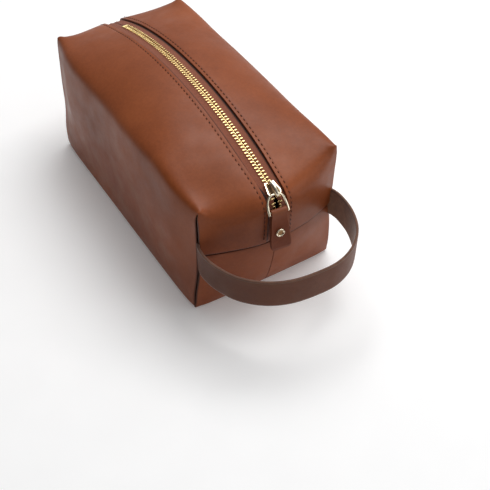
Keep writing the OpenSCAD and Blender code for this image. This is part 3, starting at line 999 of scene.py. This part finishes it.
def make_tab():
    """A strip folded over the bar: front and back layers lie together and end in one flared foot."""
    side_run = [(0.68, -TAB_LENGTH), (0.66, -26), (0.62, -18), (0.66, -10), (0.85, -6), (1.25, -3.0)]
    loop = [(1.5 * math.cos(a), 1.5 * math.sin(a)) for a in [math.radians(d) for d in range(-20, 201, 20)]]
    path = side_run + loop + [(-y, z) for y, z in side_run[::-1]]
    across = [k / 8 - 0.5 for k in range(9)]
    points, uvs, faces, edge_tone_and_painted_shade = [], [], [], []
    place = at_bar()
    for i, (y, z) in enumerate(path):
        share = min(1.0, max(0.0, -z / TAB_LENGTH))
        half = lerp(6.1, 8.3, smooth(share * 1.05))
        sway = 0.9 * share ** 2
        for a in across:
            rim = 1.0 if abs(a) == 0.5 else 0.0
            foot = 0.55 * (2 * abs(a)) ** 6 if z < -30 else 0.0
            points.append(place @ Vector((2 * a * half + 0.9 * share, y - sway, z + foot)))
            uvs.append((a * 15, i))
            # A lighter colour round the fold over the bar and a little along the rims.
            edge_tone_and_painted_shade.append(max(rim * 0.35, 0.9 - abs(i - 15) / 5))
    width = len(across)
    for i in range(len(path) - 1):
        for k in range(width - 1):
            a = i * width + k
            faces.append((a, a + 1, a + width + 1, a + width))
    mesh = mesh_from("tab_strip", askew(points), faces, edge_tone_and_painted_shade, uvs)
    tab = new_object("leather_pull_tab", mesh, TAB)
    modifier(tab, "SUBSURF", levels=1, render_levels=2)
    modifier(tab, "SOLIDIFY", thickness=1.2 * MM, offset=0.0)
    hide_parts("pull_tab")

    cap = turned([(0, 0.35), (1.1, 0.3), (1.9, 0.22), (2.15, 0.45), (2.4, 0.85), (2.8, 1.02), (3.2, 0.85),
                  (3.5, 0.35), (3.5, -0.1), (0, -0.1)], 40)
    stand = place @ Matrix.Translation((0, -1.95, -RIVET_DROP)) @ Matrix.Rotation(math.radians(90), 4, "X")
    verts, faces = moved(cap, stand)
    front = new_object("rivet_ring_cap", mesh_from("rivet_cap", askew(verts), faces), GOLD, PAINTED_REFLECTION_BRASS)
    # Painted dark reflection: the faces within 2.25 mm of the cap's middle take the darker brass.
    middle = askew([stand @ Vector((0, 0, 0.3))])[0]
    for f in front.data.polygons:
        if (f.center / MM - middle).length < 2.25:
            f.material_index = 1
    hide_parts("rivet_cap")
    back = turned([(0, -0.75), (2.2, -0.7), (2.9, -0.35), (3.0, 0), (1.2, 0.05), (1.2, 2.4), (0, 2.4)], 32)
    stand = place @ Matrix.Translation((0, 1.0, -RIVET_DROP)) @ Matrix.Rotation(math.radians(90), 4, "X")
    verts, faces = moved(back, stand)
    rear = new_object("rivet_post_and_back", mesh_from("rivet_back", askew(verts), faces), GOLD)
    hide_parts("rivet_back")
    for obj in (tab, front, rear):
        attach(obj, "tab")


def make_handle():
    """One thick strap: smooth outside, suede inside, with pale cut edges, sewn into both corner seams."""
    half_path = [(0, STRAP_LO[1] + STRAP_THICK / 2 - 0.8), (19.5, -186.0), (36.5, -178.8), (50.2, -165.2), (57.8, -148),
                 (60.0, -132.5), (59.4, -124), (57.4, -118.8), (55.2, -115.5)]
    left_path = [(-x * 0.985, y + 3.2 * smooth(x / 30) * smooth((-132 - y) / 20), 0) for x, y in half_path]
    plan = catmull(left_path[:0:-1] + [(x, y, 0) for x, y in half_path], 8)
    low, high = STRAP_LO[2], STRAP_HI[2]
    r = 0.55
    h = STRAP_THICK / 2
    section = [(h, low + r), (h, low + 5), (h, (low + high) / 2), (h, high - 5), (h, high - r),
               (h * 0.75, high), (0, high + 0.05), (-h * 0.75, high),
               (-h, high - r), (-h, high - 5), (-h, (low + high) / 2), (-h, low + 5), (-h, low + r),
               (-h * 0.75, low), (0, low - 0.05), (h * 0.75, low)]
    slots = [0] * 4 + [2] * 4 + [1] * 4 + [2] * 4
    points, faces, materials, edge_tone_and_painted_shade = [], [], [], []
    count = len(section)
    for i, p in enumerate(plan):
        ahead, behind = plan[min(i + 1, len(plan) - 1)], plan[max(i - 1, 0)]
        t = (ahead - behind).normalized()
        n = Vector((-t.y, t.x, 0)) * -1
        lean = 0.035 * math.sin(math.pi * i / (len(plan) - 1))
        for d, z in section:
            q = p + n * (d + (z - (low + high) / 2) * lean)
            points.append((q.x, q.y, z))
            edge_tone_and_painted_shade.append(max(0.0, 1 - min(z - low, high - z) / 0.9) * 0.7)
    for i in range(len(plan) - 1):
        for k in range(count):
            j = (k + 1) % count
            faces.append((i * count + k, i * count + j, (i + 1) * count + j, (i + 1) * count + k))
            materials.append(slots[k])
    faces.append(tuple(range(count))[::-1])
    faces.append(tuple(range((len(plan) - 1) * count, len(plan) * count)))
    materials += [2, 2]
    mesh = mesh_from("strap", points, faces, edge_tone_and_painted_shade)
    mesh.polygons.foreach_set("material_index", materials)
    obj = new_object("handle_strap_loop", mesh, STRAP, SUEDE, RAW_EDGE)
    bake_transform(obj)
    modifier(obj, "SUBSURF", levels=1, render_levels=2)
    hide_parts("handle_strap")


# ---------------------------------------------------------------- camera, lights, floor

def make_camera():
    data = bpy.data.cameras.new("view")
    data.lens = 72.4
    data.sensor_width = 36
    cam = bpy.data.objects.new("view", data)
    bpy.context.scene.collection.objects.link(cam)
    azimuth, elevation = math.radians(-31.3), math.radians(45.1)
    back = Vector((math.sin(azimuth) * math.cos(elevation), -math.cos(azimuth) * math.cos(elevation),
                   math.sin(elevation)))
    cam.location = (-0.2875, -0.5636, 0.5706)
    cam.rotation_euler = (-back).to_track_quat("-Z", "Y").to_euler()
    bpy.context.scene.camera = cam


def area_light(name, at, target, size, power, color=(1, 1, 1)):
    data = bpy.data.lights.new(name, "AREA")
    data.shape = "RECTANGLE"
    data.size, data.size_y = size
    data.energy = power
    data.color = color
    obj = bpy.data.objects.new(name, data)
    bpy.context.scene.collection.objects.link(obj)
    obj.location = at
    obj.rotation_euler = (Vector(target) - Vector(at)).to_track_quat("-Z", "Y").to_euler()


def make_studio():
    world = bpy.data.worlds.new("studio")
    bpy.context.scene.world = world
    world.use_nodes = True
    sky = world.node_tree.nodes["Background"]
    split = world.node_tree.nodes.new("ShaderNodeSeparateXYZ")
    spot = world.node_tree.nodes.new("ShaderNodeTexCoord")
    world.node_tree.links.new(spot.outputs["Generated"], split.inputs[0])
    across = math_node(world.node_tree.nodes, world.node_tree.links, "MULTIPLY", split.outputs[0], 0.5)
    across = math_node(world.node_tree.nodes, world.node_tree.links, "ADD", across, 0.5)
    shade = ramp_node(world.node_tree.nodes, world.node_tree.links, across,
                      [(0.05, (0.07, 0.07, 0.08)), (0.45, (0.62, 0.62, 0.62)), (0.9, (0.95, 0.95, 0.95))])
    world.node_tree.links.new(shade, sky.inputs[0])
    sky.inputs[1].default_value = 0.62
    area_light("key_softbox", (0.40, 0.22, 1.15), (0, 0, 0.08), (1.0, 0.8), 11.5)
    area_light("front_fill", (0.75, -0.9, 0.55), (0, -0.1, 0.06), (0.6, 0.5), 1.5)
    m, nodes, links, shader = node_material("paper_floor")
    at = nodes.new("ShaderNodeTexCoord").outputs["Object"]
    mottle = noise_node(nodes, links, at, 30, 3, 0.5)
    links.new(ramp_node(nodes, links, mottle, [(0.3, (0.93, 0.93, 0.93)), (0.7, (0.95, 0.95, 0.95))]),
              shader.inputs["Base Color"])
    shader.inputs["Roughness"].default_value = 0.9
    shader.inputs["Emission Color"].default_value = (1, 1, 1, 1)
    shader.inputs["Emission Strength"].default_value = 0.12
    size = 4000
    corners = [(-size, -size, -0.05), (size, -size, -0.05), (size, size, -0.05), (-size, size, -0.05)]
    floor = new_object("floor", mesh_from("floor", corners, [(0, 1, 2, 3)]), m)


make_camera()
make_studio()
for half in (LEFT, RIGHT):
    make_panel(half)
    make_lining(half)
    make_tape(half)
    make_teeth(half)
    make_stitches(half)
make_stops()
make_slider()
make_fork()
make_tab()
make_handle()
bpy.context.scene.view_settings.view_transform = "Standard"
